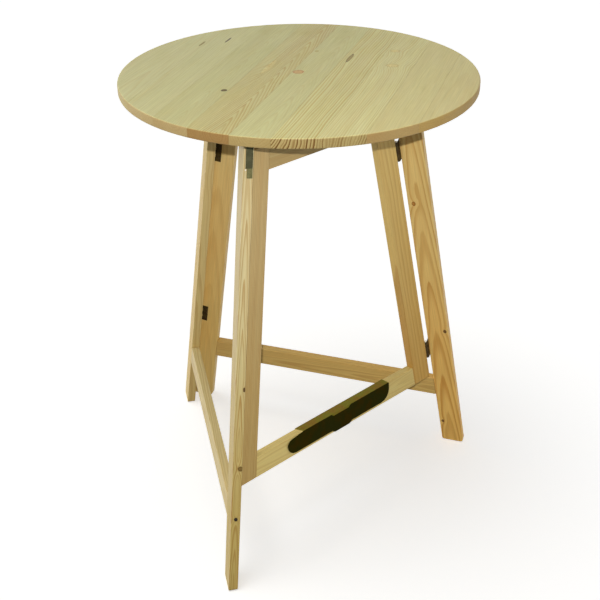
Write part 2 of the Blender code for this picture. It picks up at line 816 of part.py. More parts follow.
def build_battens(top, staves):
    """Two battens across the staves, inside the frames, with a screw into each stave."""
    surface = -TOP_THICKNESS - FIT_GAP
    lower = surface - BATTEN_THICKNESS
    upward = Matrix.Rotation(math.pi, 4, "X")
    for name, (front, back, left) in zip(("rear_batten", "front_batten"), batten_spans()):
        mesh = batten_mesh(name, front, back, left, surface)
        batten = add_object(name, mesh, top, pine_material(name, 0.9))
        ease_arrises(batten)
        middle = (front + back) / 2.0
        margin = 2.0 * BATTEN_END_CHAMFER
        held = []
        for stave, stave_left, stave_right in staves:
            x = (stave_left + stave_right) / 2.0
            if left + margin < x < BATTEN_RIGHT_END - margin:
                held.append((stave, Matrix.Translation((x, middle, lower)) @ upward))
        screw = round_headed_screw("screw")
        hole = round_headed_screw("hole", SCREW_CLEARANCE)
        screws = join_meshes(name + "_screws", [(screw, place) for _, place in held])
        join_to(batten, add_object(name + "_screws", screws, top))
        for stave, place in held:
            cut(stave, add_object(name + "_screw_hole", hole.copy(), top, None, place))


def strap_axes(frame):
    """Where the strap starts on the left frame's front end, and its three directions there.

    X is square to the end, Y points into the table and Z runs up the end, beside its arrises.
    """
    height = frame.height_at(STRAP_LOW, frame.outer)
    end = LEFT_SPAN - LEFT_FRAME_SETBACK - IN_PLANE_LEAN * height
    spot = frame.empty.matrix_world @ Vector((end, height, frame.outer))
    turn = frame.empty.matrix_world.to_3x3()
    square = (turn @ Vector((1, IN_PLANE_LEAN, 0))).normalized()
    upward = (turn @ Vector((-IN_PLANE_LEAN, 1, 0))).normalized()
    return spot, square, upward.cross(square), upward


def strap_plate(rise, shoulder):
    """The strap's plate, narrower below its shoulder."""
    left = STRAP_SIDE_INSET
    right = left + STRAP_WIDTH
    tail_left = right - STRAP_TAIL_WIDTH
    face = (
        (tail_left, 0),
        (right, 0),
        (right, rise),
        (left, rise),
        (left, shoulder),
        (tail_left, shoulder),
    )
    near = STRAP_STANDOFF
    return loft("plate", [[(x, y, z) for y, z in face] for x in (near, near + STRAP_THICKNESS)])


def build_strap(top, frame, staves):
    """The strap that follows the frame's front end, its flange under the top and two screws."""
    spot, square, inward, upward = strap_axes(frame)
    to_top = top.matrix_world.inverted()
    place = to_top @ axes_matrix(square, inward, spot)
    high = UNDER_TOP
    run = (high - STRAP_LOW) / upward.z
    shoulder = (STRAP_SHOULDER - STRAP_LOW) / upward.z
    name = "corner_strap"
    plate = strap_plate(run - STRAP_THICKNESS / 2.0, shoulder)
    strap = add_object(name, plate, top, dark_metal(name), place)
    ahead = Vector((square.x, square.y, 0)).normalized()
    aside = Vector((0, 0, 1)).cross(ahead)
    head = spot + upward * run
    local = to_top @ axes_matrix(ahead, aside, Vector((head.x, head.y, 0)))
    near = STRAP_STANDOFF
    left = STRAP_SIDE_INSET
    right = left + STRAP_WIDTH
    far = near + STRAP_FLANGE_LENGTH
    flange = ((near, left), (far, left), (far, right), (near, right))
    flange_low = high - STRAP_THICKNESS
    flange_mesh = prism("flange", flange, flange_low, high)
    join_to(strap, add_object("strap_flange", flange_mesh, top, None, local))
    sizes = (SCREW_RADIUS, SCREW_HEAD_RADIUS, SCREW_HEAD_DEPTH, STRAP_SCREW_LENGTH)
    screw = screw_mesh("strap_screw", *sizes)
    hole = screw_mesh("strap_hole", *sizes, clearance=SCREW_CLEARANCE)
    upward = Matrix.Rotation(math.pi, 4, "X")
    places = []
    for share in (0.42, 0.80):
        centre = Vector((near + STRAP_FLANGE_LENGTH * share, (left + right) / 2.0, flange_low))
        places.append(local @ Matrix.Translation(centre) @ upward)
    cutter = add_object(
        "strap_screw_holes", join_meshes("strap_holes", [(hole, p) for p in places]), top
    )
    cut(strap, cutter)
    left_most = min(place.translation.x for place in places) - SCREW_HEAD_RADIUS
    right_most = max(place.translation.x for place in places) + SCREW_HEAD_RADIUS
    for stave, stave_left, stave_right in staves:
        if stave_left < right_most and stave_right > left_most:
            cut(stave, cutter)
    for index, place in enumerate(places):
        own = "strap_screw_" + str(index + 1)
        add_object(own, screw.copy(), top, screw_material(own), place)


def build_stud(frame, leg):
    """The bright stud in the left frame's front end, just under the strap's shoulder."""
    depth = frame.outer - STUD_FROM_FACE
    height = frame.height_at(STRAP_SHOULDER - STUD_UNDER_SHOULDER, depth)
    end = LEFT_SPAN - LEFT_FRAME_SETBACK - IN_PLANE_LEAN * height
    square_to_end = Matrix.Rotation(math.atan(IN_PLANE_LEAN), 4, "Z")
    out_of_end = square_to_end @ Matrix.Rotation(math.pi / 2.0, 4, "Y")
    place = Matrix.Translation((end, height, depth)) @ out_of_end
    head_low = FIT_GAP
    profile = [(STUD_RADIUS, -STUD_LENGTH), (STUD_RADIUS, head_low)]
    for step in range(CORNER_STEPS + 1):
        turn = math.pi / 2.0 * step / (CORNER_STEPS + 1)
        rise = STUD_HEAD_HEIGHT * math.sin(turn)
        profile.append((STUD_HEAD_RADIUS * math.cos(turn), head_low + rise))
    stud = turned("strap_stud", profile, SCREW_SIDES + 2)
    add_object("strap_stud", stud, frame.empty, brass_material("strap_stud"), place)
    hole_radius = STUD_RADIUS + SCREW_CLEARANCE
    hole = [(hole_radius, -STUD_LENGTH - FIT_GAP), (hole_radius, CUT_OVERRUN)]
    cutter = add_object("stud_hole", turned("stud_hole", hole, SCREW_SIDES + 2), frame.empty)
    cutter.matrix_local = place
    cut(leg, cutter)


def centre_over_origin(root):
    """Move the table so that the middle of its box stands over the origin."""
    bpy.context.view_layer.update()
    depsgraph = bpy.context.evaluated_depsgraph_get()
    corners = []
    for item in bpy.data.objects:
        if item.type != "MESH" or item.hide_render:
            continue
        shape = item.evaluated_get(depsgraph)
        corners += [item.matrix_world @ vertex.co for vertex in shape.data.vertices]
    for axis in (0, 1):
        values = [corner[axis] for corner in corners]
        root.location[axis] -= (min(values) + max(values)) / 2.0


def main():
    clear_scene()
    root = add_empty("bar_table")
    rear, (rear_right_leg, rear_left_leg) = rear_frame(root)
    bpy.context.view_layer.update()
    to_world = rear.empty.matrix_world
    left_pin = Vector((REAR_LEFT_REACH - LEFT_PIN_INSET, 0, rear.inner - PIN_TO_WOOD))
    right_pin = Vector(
        (
            -REAR_RIGHT_REACH + LEG_WIDTH + PIN_TO_WOOD_LEVEL,
            0,
            rear.inner - RIGHT_PIN_FORWARD,
        )
    )
    points = []
    for pin, sign in ((left_pin, -1), (right_pin, 1)):
        start = to_world @ pin
        line = (to_world.to_3x3() @ Vector((sign * IN_PLANE_LEAN, 1, 0))).normalized()
        points.append(on_axis(start, line, -start.z))
    left_point, right_point = points
    left, (left_rear_leg, left_front_leg) = left_frame(root, left_point)
    right, (right_front_leg, right_rear_leg) = right_frame(root, right_point)
    bpy.context.view_layer.update()

    line, rear_across, rear_out = world_directions(rear, -1)
    _, left_across, left_out = world_directions(left, 1)
    left_hinges = (
        ("left_upper_hinge", UNDERSIDE - LEFT_UPPER_HINGE_DROP),
        ("left_lower_hinge", LEFT_LOWER_HINGE_HEIGHT),
    )
    for name, height in left_hinges:
        build_hinge(
            name,
            on_axis(left_point, line, height),
            (rear, rear_left_leg, rear_out, -rear_across),
            (left, left_rear_leg, left_out, left_across),
        )
    line, rear_across, rear_out = world_directions(rear, 1)
    _, right_across, right_out = world_directions(right, -1)
    right_hinges = (
        ("right_upper_hinge", UNDERSIDE - RIGHT_UPPER_HINGE_DROP),
        ("right_lower_hinge", RIGHT_LOWER_HINGE_HEIGHT),
    )
    for name, height in right_hinges:
        build_hinge(
            name,
            on_axis(right_point, line, height),
            (rear, rear_right_leg, -rear_across, rear_out),
            (right, right_rear_leg, -right_across, -right_out),
        )
    build_cover(right)

    top, staves = build_top(root)
    bpy.context.view_layer.update()
    build_battens(top, staves)
    build_strap(top, left, staves)
    build_stud(left, left_front_leg)
    centre_over_origin(root)
    bpy.context.view_layer.update()


main()
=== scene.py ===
"""Studio picture of the pine bar table: oiled pine, browned metal fittings and a pale floor."""
import json
import math

import bmesh
import bpy
from mathutils import Matrix, Vector

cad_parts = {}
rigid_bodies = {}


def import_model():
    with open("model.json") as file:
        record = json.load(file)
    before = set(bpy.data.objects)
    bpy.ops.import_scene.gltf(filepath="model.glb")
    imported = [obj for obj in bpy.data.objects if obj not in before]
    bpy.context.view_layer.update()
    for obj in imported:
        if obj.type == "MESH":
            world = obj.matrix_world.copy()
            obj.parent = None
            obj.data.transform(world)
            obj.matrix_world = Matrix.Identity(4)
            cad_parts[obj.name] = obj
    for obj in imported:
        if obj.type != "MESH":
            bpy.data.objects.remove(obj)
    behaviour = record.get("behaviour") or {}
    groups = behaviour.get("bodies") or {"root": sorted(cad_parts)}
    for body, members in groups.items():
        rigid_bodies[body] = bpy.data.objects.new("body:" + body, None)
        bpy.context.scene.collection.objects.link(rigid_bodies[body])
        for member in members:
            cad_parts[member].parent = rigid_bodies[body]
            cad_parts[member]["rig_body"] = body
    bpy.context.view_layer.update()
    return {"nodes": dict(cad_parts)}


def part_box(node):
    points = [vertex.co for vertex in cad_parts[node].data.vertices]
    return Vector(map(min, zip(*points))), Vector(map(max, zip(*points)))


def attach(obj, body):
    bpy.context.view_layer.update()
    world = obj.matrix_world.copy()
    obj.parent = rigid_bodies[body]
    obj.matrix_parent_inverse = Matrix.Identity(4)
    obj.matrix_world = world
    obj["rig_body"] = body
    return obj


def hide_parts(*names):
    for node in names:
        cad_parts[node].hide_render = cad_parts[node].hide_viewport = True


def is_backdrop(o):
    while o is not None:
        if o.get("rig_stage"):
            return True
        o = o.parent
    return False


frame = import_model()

# Sizes that the pieces were modelled to, in metres, and how the three frames stand
BOARD = 0.0215
STRAP_SHOULDER_DROP = 0.0800
FRONT_END = 0.4303
LEAN = math.radians(5.3)
FRAME_TURN = math.radians(120.0)
REAR = dict(facing=90.0, setback=0.2357)
LEFT = dict(facing=210.0, setback=0.2667)
RIGHT = dict(facing=-30.0, setback=0.2024)

# How far a leg board runs along its frame for each metre up the frame's slope
SLOPE = 2.0 * math.sin(FRAME_TURN / 2.0) * math.sin(LEAN)

# Pine: light and dark wood of the rings, and the warmer patches
TOP_WOOD = dict(light=(0.615, 0.582, 0.276), dark=(0.500, 0.375, 0.120), warm=(0.575, 0.482, 0.206))
LEG_WOOD = dict(light=(0.640, 0.495, 0.215), dark=(0.430, 0.245, 0.070), warm=(0.590, 0.390, 0.140))
NO_TINT = (1.0, 1.0, 1.0)
PALE_RAIL = (0.90, 0.90, 0.90)
# SHADED_RAIL darkens the right frame's top rail: painted shade, as under the top
SHADED_RAIL = (0.70, 0.69, 0.70)

# What the wood of a knot is multiplied by
DARK_KNOT = (0.20, 0.15, 0.10)
# The knot hole is near black: painted shade inside the hole
KNOT_HOLE_SHADE = (0.03, 0.02, 0.015)
BROWN_KNOT = (0.52, 0.36, 0.22)
PALE_KNOT = (0.74, 0.66, 0.48)
SWIRL_KNOT = (0.46, 0.39, 0.25)
RINGED_KNOT = (0.34, 0.28, 0.17)
PINK_KNOT = (0.88, 0.62, 0.55)
FAINT_SWIRL = (0.92, 0.87, 0.80)

# How far a knot is stretched along, across and through its board
ROUND_IN_STAVE = (1.0, 1.0, 6.0)
WIDE_IN_STAVE = (1.0, 1.2, 6.0)
ROUND_IN_LEG = (1.2, 1.0, 6.0)
ROUND_IN_END = (1.1, 3.0, 1.0)

# A knot's rim, heart, lumps and the hill in the rings round it, as shares of its size
KNOT_RIM_SHARES = (1.08, 0.80)
KNOT_HEART_SHARES = (0.82, 0.60)
KNOT_LUMP_SHARE = 0.5
KNOT_HILL_SHARE = 1.6
KNOT_REACH_SHARE = 2.4
HILL_BASE = 2.718
KNOT_RIM_STRENGTH = 0.7
KNOT_RING_STRENGTH = 0.8

# Noise frequencies along, across and through a board, per metre, and how a seed shifts them
WANDER_SCALE = (3.2, 16.0, 16.0)
PATCH_SCALE = (2.2, 24.0, 24.0)
FIBRE_SCALE = (9.0, 520.0, 520.0)
DIRT_SCALE = (11.0, 30.0, 30.0)
LUMP_SCALE = (150.0, 150.0, 150.0)
SEED_STEP = (1.37, 0.61, 0.83)
NOISE_MIDDLE = 0.5

# Growth rings: how unevenly they follow each other, and how they wander and calm down
UNEVEN_FREQUENCY = 0.9
UNEVEN_SHIFT = 0.9
RADIUS_WANDER_SHARE = 0.6
CALM_START_SHARE = 0.55

# Smooth steps in the pine: from where to where, and for some from what to what
RIM_STEP = (0.97, 0.60)
LATE_STEP = (0.30, 0.86)
EARLY_STEP = (1.0, 0.92)
RING_STRENGTH_STEP = (0.3, 0.7, 0.40, 1.0)
WARM_STEP = (0.35, 0.72)
STREAK_STEP = (0.30, 0.75, 0.90, 1.06)
END_GRAIN_STEP = (0.55, 0.95)
DIRT_STEP = (0.56, 0.80, 0.0, 0.20)
DULL_STEP = (0.3, 0.8, -0.05, 0.10)
NO_FADE = (9.0, 10.0)
# Where a leg's foot tint sets in; that tint is partly browner wood and partly painted light and shade
# for the fall-off of the light down the legs
LEG_FOOT_TONE_AND_FALLOFF = (0.40, -0.50)

# Tints for end grain, dark rings on the rim, the lighter rings in a knot, and dirt
END_GRAIN_TINT = (0.66, 0.54, 0.42)
RIM_RING_TINT = (0.36, 0.26, 0.17)
KNOT_RING_TINT = (1.35, 1.30, 1.25)
DIRT_TINT = (0.74, 0.70, 0.62)

# Small sizes in the pine, in metres, and what the fibres and late wood do to its surface
FIBRE_JITTER = 0.0011
KNOT_RING = 0.0017
WOOD_RELIEF = 0.00035
WOOD_RELIEF_STRENGTH = 0.30
FIBRE_RELIEF_SHARE = 0.45
LATE_RELIEF_SHARE = 0.55
LATE_SHINE = 0.08

# Seeds of the staves and the battens, and the rings of the battens and the rails
STAVE_SEED_STEP = 3.1
BATTEN_SEEDS = {"rear_batten": 51.0, "front_batten": 57.0}
BATTEN_RINGS = dict(pith=(0.03, -0.05), taper=0.02, ring=0.004)
RAIL_VARIETY = 0.02
RAIL_PITH_DEPTH = -0.030
RAIL_RINGS = dict(ring=0.0040, contrast=0.55)

# Metal: two tones of each kind
LEAF_TONES = ((0.062, 0.042, 0.011), (0.040, 0.022, 0.006))
STRAP_TONES = ((0.062, 0.062, 0.029), (0.086, 0.084, 0.043))
# The second, reddish-brown tone of the cover and the plate is a painted reflection
COVER_TONES_AND_REFLECTION = ((0.186, 0.170, 0.018), (0.225, 0.138, 0.024))
PLATE_TONES_AND_REFLECTION = ((0.017, 0.017, 0.0008), (0.028, 0.018, 0.0008))
# The pins' and stud's near-white tones are a painted highlight on their heads
PIN_GLINT_TONES = ((0.98, 0.95, 0.84), (0.92, 0.87, 0.72))
SCREW_TONES = ((0.075, 0.052, 0.020), (0.050, 0.034, 0.014))

# Metal: its patches, specks and relief, and the lighter tail of the strap
PATCH_FREQUENCY = 30.0
FINE_PATCH_FREQUENCY = 90.0
SCREW_PATCH_FREQUENCY = 300.0
SPECK_FREQUENCY = 900.0
TONE_STEP = (0.40, 0.66)
SPECK_STEP = (0.35, 0.70, 0.86, 1.10)
METAL_ROUGHNESS_STEP = (0.3, 0.7)
SMOOTHER = 0.08
ROUGHER = 0.12
METAL_RELIEF = 0.0003
METAL_RELIEF_STRENGTH = 0.25
SPECK_RELIEF_SHARE = 0.4
# How the strap grows lighter below its shoulder: the width of the blend and the tint
LIGHTER_TAIL_BAND = 0.002
LIGHTER_TAIL_TINT = (2.2, 2.1, 1.8)

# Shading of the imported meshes
WELD_DISTANCE = 0.000005
SHARP_ANGLE = math.radians(50.0)
FLAT_SHARE = 0.995

# Floor and sky: what lights the table, and what the camera and reflections see
FLOOR_SIZE = 30.0
FLOOR_ROUGHNESS = 0.95
FLOOR_GLOSS = 0.1
FLOOR_BOUNCE = (0.45, 0.45, 0.44, 1.0)
FLOOR_SHOWN = (0.93, 0.93, 0.92, 1.0)
FLOOR_LIFT = 0.60
WHITE = (1.0, 1.0, 1.0, 1.0)
SKY_LIGHT = (1.0, 0.99, 0.97, 1.0)
SKY_STRENGTH = 0.17
SKY_SHOWN_STRENGTH = 1.0

# Lamps
SUN_ANGLE = math.radians(40.0)
FROM_ABOVE = (-0.25, -0.15, 1.0)
FROM_LEFT = (-1.0, -0.10, 0.20)
FROM_RIGHT = (1.0, 0.10, 0.20)
OVERHEAD_STRENGTH = 0.50
FLOOR_STRENGTH = 0.45
LEFT_STRENGTH = 2.30
RIGHT_STRENGTH = 0.90
PLAIN_LIGHT = (1.0, 1.0, 1.0)
SIDE_LIGHT = (1.0, 0.98, 0.93)
FRONT_LIGHT = (1.0, 0.98, 0.94)
FRONT_POWER = 32.8
FRONT_SIZE = 0.02
FRONT_PLACE = Vector((0.60, -1.96, 1.83))
FRONT_AIM_SHARE = 0.75

# Camera, solved from the photograph; its place is from the foot of the top's axis
CAMERA_PLACE = Vector((0.66435, -2.10696, 1.81448))
CAMERA_LENS = 61.39
CAMERA_SENSOR = 36.0
CAMERA_SHIFT = (0.0464, -0.0424)
CAMERA_REACH = 200.0
CAMERA_PITCH = math.radians(29.08)
CAMERA_YAW = math.radians(-1.71)
CAMERA_ROLL = math.radians(-1.09)
CAMERA_TURN = math.radians(17.5008)

# Colour inputs and output of Blender's Mix node, and the upward direction
MIX_FIRST = 6
MIX_SECOND = 7
MIX_RESULT = 2
UPWARD = (0.0, 0.0, 1.0)


def top_centre():
    """The middle of the round top, from its own staves."""
    first_low, first_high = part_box("top_stave_1")
    last_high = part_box("top_stave_9")[1]
    middle_low, middle_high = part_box("top_stave_5")
    x = (first_low.x + last_high.x) / 2.0
    y = (middle_low.y + middle_high.y) / 2.0
    return Vector((x, y, first_high.z))


CENTRE = top_centre()
AXIS = Vector((CENTRE.x, CENTRE.y, 0.0))


def directions(side):
    """Along the frame, up its slope and out of the table, for one leaning frame."""
    turn = math.radians(side["facing"])
    out = Vector((math.cos(turn) * math.cos(LEAN), math.sin(turn) * math.cos(LEAN), math.sin(LEAN)))
    along = Vector((-math.sin(turn), math.cos(turn), 0.0))
    up = Vector((-math.cos(turn) * math.sin(LEAN), -math.sin(turn) * math.sin(LEAN), math.cos(LEAN)))
    return along, up, out


def on_leg(side, lean, s, w, e):
    """A point of a leg: s is where its line meets the floor, w up the slope, e out of its face."""
    along, up, out = directions(side)
    turn = math.radians(side["facing"])
    foot = AXIS + Vector((math.cos(turn), math.sin(turn), 0.0)) * side["setback"]
    return foot + along * (s + lean * SLOPE * w) + up * w + out * e


def on_top(x, y):
    """A place on the round top, from its middle."""
    return (CENTRE.x + x, CENTRE.y + y, CENTRE.z)


class Nodes:
    """Short calls for building a material's node tree."""

    def __init__(self, name):
        self.material = bpy.data.materials.new(name)
        self.material.use_nodes = True
        self.tree = self.material.node_tree
        self.shader = self.tree.nodes["Principled BSDF"]

    def put(self, socket, value):
        if isinstance(value, bpy.types.NodeSocket):
            self.tree.links.new(value, socket)
        else:
            socket.default_value = value

    def math(self, operation, *values):
        node = self.tree.nodes.new("ShaderNodeMath")
        node.operation = operation
        for socket, value in zip(node.inputs, values):
            self.put(socket, value)
        return node.outputs[0]

    def add(self, first, second):
        return self.math("ADD", first, second)

    def less(self, first, second):
        return self.math("SUBTRACT", first, second)

    def times(self, first, second):
        return self.math("MULTIPLY", first, second)

    def vector(self, operation, *values):
        node = self.tree.nodes.new("ShaderNodeVectorMath")
        node.operation = operation
        for socket, value in zip(node.inputs, values):
            self.put(socket, value)
        scalar = operation in ("DOT_PRODUCT", "LENGTH")
        return node.outputs["Value" if scalar else "Vector"]

    def tint(self, colour, tint):
        return self.vector("MULTIPLY", colour, tint)

    def combine(self, x, y, z):
        node = self.tree.nodes.new("ShaderNodeCombineXYZ")
        for socket, value in zip(node.inputs, (x, y, z)):
            self.put(socket, value)
        return node.outputs[0]

    def noise(self, vector, scale, detail=2.0, rough=0.5):
        node = self.tree.nodes.new("ShaderNodeTexNoise")
        self.put(node.inputs["Vector"], vector)
        node.inputs["Scale"].default_value = scale
        node.inputs["Detail"].default_value = detail
        node.inputs["Roughness"].default_value = rough
        return node.outputs["Fac"]

    def centred(self, noise):
        """Noise that swings round zero."""
        return self.less(noise, NOISE_MIDDLE)

    def ramp(self, value, low, high, to_low=0.0, to_high=1.0):
        """A smooth step from to_low to to_high while value goes from low to high."""
        node = self.tree.nodes.new("ShaderNodeMapRange")
        node.interpolation_type = "SMOOTHSTEP"
        for name, item in (
            ("Value", value),
            ("From Min", low),
            ("From Max", high),
            ("To Min", to_low),
            ("To Max", to_high),
        ):
            self.put(node.inputs[name], item)
        return node.outputs["Result"]

    def mix(self, factor, first, second):
        node = self.tree.nodes.new("ShaderNodeMix")
        node.data_type = "RGBA"
        self.put(node.inputs["Factor"], factor)
        self.put(node.inputs[MIX_FIRST], first)
        self.put(node.inputs[MIX_SECOND], second)
        return node.outputs[MIX_RESULT]

    def coordinate(self, output):
        node = self.tree.nodes.new("ShaderNodeTexCoord")
        return node.outputs[output]

    def bump(self, height, strength, distance):
        node = self.tree.nodes.new("ShaderNodeBump")
        node.inputs["Strength"].default_value = strength
        node.inputs["Distance"].default_value = distance
        self.put(node.inputs["Height"], height)
        return node.outputs["Normal"]


class Pine(Nodes):
    """Oiled pine whose rings, knots and fibres follow one board.

    style, which look() makes, holds the pith's place beside and below the board, the taper that
    bends the rings into cathedrals, the ring width, the colours of the wood and the knots.
    """

    def __init__(self, name, origin, along, across, seed, style):
        super().__init__(name)
        self.style = style
        self.seed = seed
        self.origin = origin
        along = along.normalized()
        across = (across - along * across.dot(along)).normalized()
        self.axes = (along, across, along.cross(across))
        here = self.vector("SUBTRACT", self.coordinate("Object"), tuple(origin))
        self.length, self.width, self.depth = (
            self.vector("DOT_PRODUCT", here, tuple(axis)) for axis in self.axes
        )
        self.placed = self.combine(self.length, self.width, self.depth)
        self.shifted = self.vector("ADD", self.placed, tuple(seed * step for step in SEED_STEP))
        self.normal = self.coordinate("Normal")
        self.fibre = self.grain(FIBRE_SCALE, detail=3.0, rough=0.62)
        self.dirt = self.grain(DIRT_SCALE, detail=5.0, rough=0.7)
        self.rim = self.ramp(self.facing(UPWARD), *RIM_STEP)

        radius, side = self.distance_from_pith()
        marks = []
        for knot in style["knots"]:
            radius, mark = self.knot(radius, *knot)
            marks.append(mark)
        late = self.late_wood(radius, side)
        self.paint(late, marks)
        self.finish_surface(late)

    def grain(self, scale, detail, rough):
        """Noise drawn out along the board."""
        return self.noise(self.vector("MULTIPLY", self.shifted, scale), 1.0, detail, rough)

    def facing(self, direction):
        """How squarely a face looks along a direction, either way."""
        return self.math("ABSOLUTE", self.vector("DOT_PRODUCT", self.normal, direction))

    def distance_from_pith(self):
        """How far a point lies from the pith, and how far to the side of it."""
        beside, below = self.style["pith"]
        bow = self.style["wander"]
        wander = self.centred(self.grain(WANDER_SCALE, detail=2.0, rough=0.55))
        side = self.add(self.less(self.width, beside), self.times(wander, bow))
        down = self.less(self.depth, below)
        radius = self.math("SQRT", self.add(self.times(side, side), self.times(down, down)))
        radius = self.add(radius, self.times(self.length, self.style["taper"]))
        radius = self.add(radius, self.times(wander, bow * RADIUS_WANDER_SHARE))
        return radius, side

    def knot(self, radius, place, size, stretch, tone):
        """Bend the board's rings round one knot, and give the knot's mask, rim, own rings and tone."""
        offset = Vector(place) - self.origin
        centre = tuple(offset.dot(axis) for axis in self.axes)
        away = self.vector("SUBTRACT", self.placed, centre)
        scaled = self.vector("MULTIPLY", away, tuple(1.0 / value for value in stretch))
        lumps = self.noise(self.vector("MULTIPLY", away, LUMP_SCALE), 1.0)
        lumpy = self.times(self.centred(lumps), KNOT_LUMP_SHARE * size)
        far = self.add(self.vector("LENGTH", scaled), lumpy)
        fall = self.math("DIVIDE", far, -KNOT_REACH_SHARE * size)
        hill = self.math("POWER", HILL_BASE, fall)
        radius = self.add(radius, self.times(hill, KNOT_HILL_SHARE * size))
        mask = self.ramp(far, *(share * size for share in KNOT_RIM_SHARES))
        heart = self.ramp(far, *(share * size for share in KNOT_HEART_SHARES))
        rim = self.less(mask, heart)
        rings = self.times(self.math("FRACT", self.math("DIVIDE", far, KNOT_RING)), heart)
        return radius, (mask, rim, rings, tone)

    def late_wood(self, radius, side):
        """The dark late wood of the rings, calmer away from the pith and on the rim."""
        style = self.style
        jitter = self.times(self.centred(self.fibre), FIBRE_JITTER)
        phase = self.math("DIVIDE", self.add(radius, jitter), style["ring"])
        uneven = self.noise(self.combine(phase, self.seed, 0.0), UNEVEN_FREQUENCY, detail=1.0)
        turn = self.math("FRACT", self.add(phase, self.times(uneven, UNEVEN_SHIFT)))
        late = self.times(self.ramp(turn, *LATE_STEP), self.ramp(turn, *EARLY_STEP))
        strength = self.ramp(uneven, *RING_STRENGTH_STEP)
        beside = self.math("ABSOLUTE", side)
        calm = self.ramp(beside, style["span"], CALM_START_SHARE * style["span"], style["calm"])
        late = self.times(self.times(late, strength), calm)
        on_rim = self.less(1.0, self.times(self.rim, style["rim_calm"]))
        return self.times(self.times(late, style["contrast"]), on_rim)

    def paint(self, late, marks):
        """Rings, warm patches, fibres, foot tint, end grain, rim, knots and dirt, one over another; the
        foot tint is partly painted light and shade.
        """
        style = self.style
        colour = self.mix(late, (*style["light"], 1.0), (*style["dark"], 1.0))
        patches = self.grain(PATCH_SCALE, detail=3.0, rough=0.6)
        warm = self.ramp(patches, *WARM_STEP, 0.0, style["patch"])
        colour = self.mix(warm, colour, (*style["warm"], 1.0))
        streak = self.ramp(self.fibre, *STREAK_STEP)
        colour = self.tint(colour, self.combine(streak, streak, streak))
        # Towards the foot the colour is tinted: partly the wood's browner foot, partly painted light and
        # shade for the fall-off of the light down the legs
        foot = self.ramp(self.length, *style["fade"])
        colour = self.mix(foot, colour, self.tint(colour, style["foot"]))
        end = self.ramp(self.facing(tuple(self.axes[0])), *END_GRAIN_STEP, 0.0, style["end"])
        colour = self.mix(end, colour, self.tint(colour, END_GRAIN_TINT))
        colour = self.mix(self.rim, colour, self.tint(colour, style["edge"]))
        stripe = self.times(self.times(self.rim, late), style["stripe"])
        colour = self.mix(stripe, colour, self.tint(colour, RIM_RING_TINT))
        for mask, rim, rings, tone in marks:
            heart = self.tint(colour, tone)
            ringed = self.times(rings, KNOT_RING_STRENGTH)
            heart = self.mix(ringed, heart, self.tint(heart, KNOT_RING_TINT))
            colour = self.mix(mask, colour, heart)
            rimmed = self.times(rim, KNOT_RIM_STRENGTH)
            colour = self.mix(rimmed, colour, self.tint(colour, tone))
        dirty = self.ramp(self.dirt, *DIRT_STEP)
        colour = self.mix(dirty, colour, self.tint(colour, DIRT_TINT))
        self.put(self.shader.inputs["Base Color"], colour)

    def finish_surface(self, late):
        """A satin surface, smoother on the late wood, with the fibres and rings as relief."""
        rough = self.add(self.ramp(self.dirt, *DULL_STEP), self.style["rough"])
        rough = self.less(rough, self.times(late, LATE_SHINE))
        self.put(self.shader.inputs["Roughness"], rough)
        self.shader.inputs["Specular IOR Level"].default_value = self.style["gloss"]
        fibres = self.times(self.fibre, FIBRE_RELIEF_SHARE)
        relief = self.add(fibres, self.times(late, LATE_RELIEF_SHARE))
        bump = self.bump(relief, WOOD_RELIEF_STRENGTH, WOOD_RELIEF)
        self.put(self.shader.inputs["Normal"], bump)


def metal(name, tones, roughness, metallic, gloss, frequency, lighter_below=None):
    """Metal in patches of two tones, lighter below a height where one is given: patina on most fittings,
    a painted reflection in the cover's and plate's reddish tone, a painted highlight in the pins' near
    white.
    """
    n = Nodes(name)
    place = n.coordinate("Object")
    patches = n.noise(place, frequency, detail=4.0, rough=0.6)
    specks = n.noise(place, SPECK_FREQUENCY)
    first, second = tones
    colour = n.mix(n.ramp(patches, *TONE_STEP), (*first, 1.0), (*second, 1.0))
    spots = n.ramp(specks, *SPECK_STEP)
    colour = n.tint(colour, n.combine(spots, spots, spots))
    if lighter_below:
        height = n.vector("DOT_PRODUCT", place, UPWARD)
        lighter_tail = n.ramp(height, lighter_below + LIGHTER_TAIL_BAND, lighter_below - LIGHTER_TAIL_BAND)
        colour = n.mix(lighter_tail, colour, n.tint(colour, LIGHTER_TAIL_TINT))
    n.put(n.shader.inputs["Base Color"], colour)
    rough = n.ramp(patches, *METAL_ROUGHNESS_STEP, roughness - SMOOTHER, roughness + ROUGHER)
    n.put(n.shader.inputs["Roughness"], rough)
    n.shader.inputs["Metallic"].default_value = metallic
    n.shader.inputs["Specular IOR Level"].default_value = gloss
    relief = n.add(patches, n.times(specks, SPECK_RELIEF_SHARE))
    n.put(n.shader.inputs["Normal"], n.bump(relief, METAL_RELIEF_STRENGTH, METAL_RELIEF))
    return n.material


def add_object(name, data):
    """A new object of the scene that shows this data."""
    item = bpy.data.objects.new(name, data)
    bpy.context.scene.collection.objects.link(item)
    return item


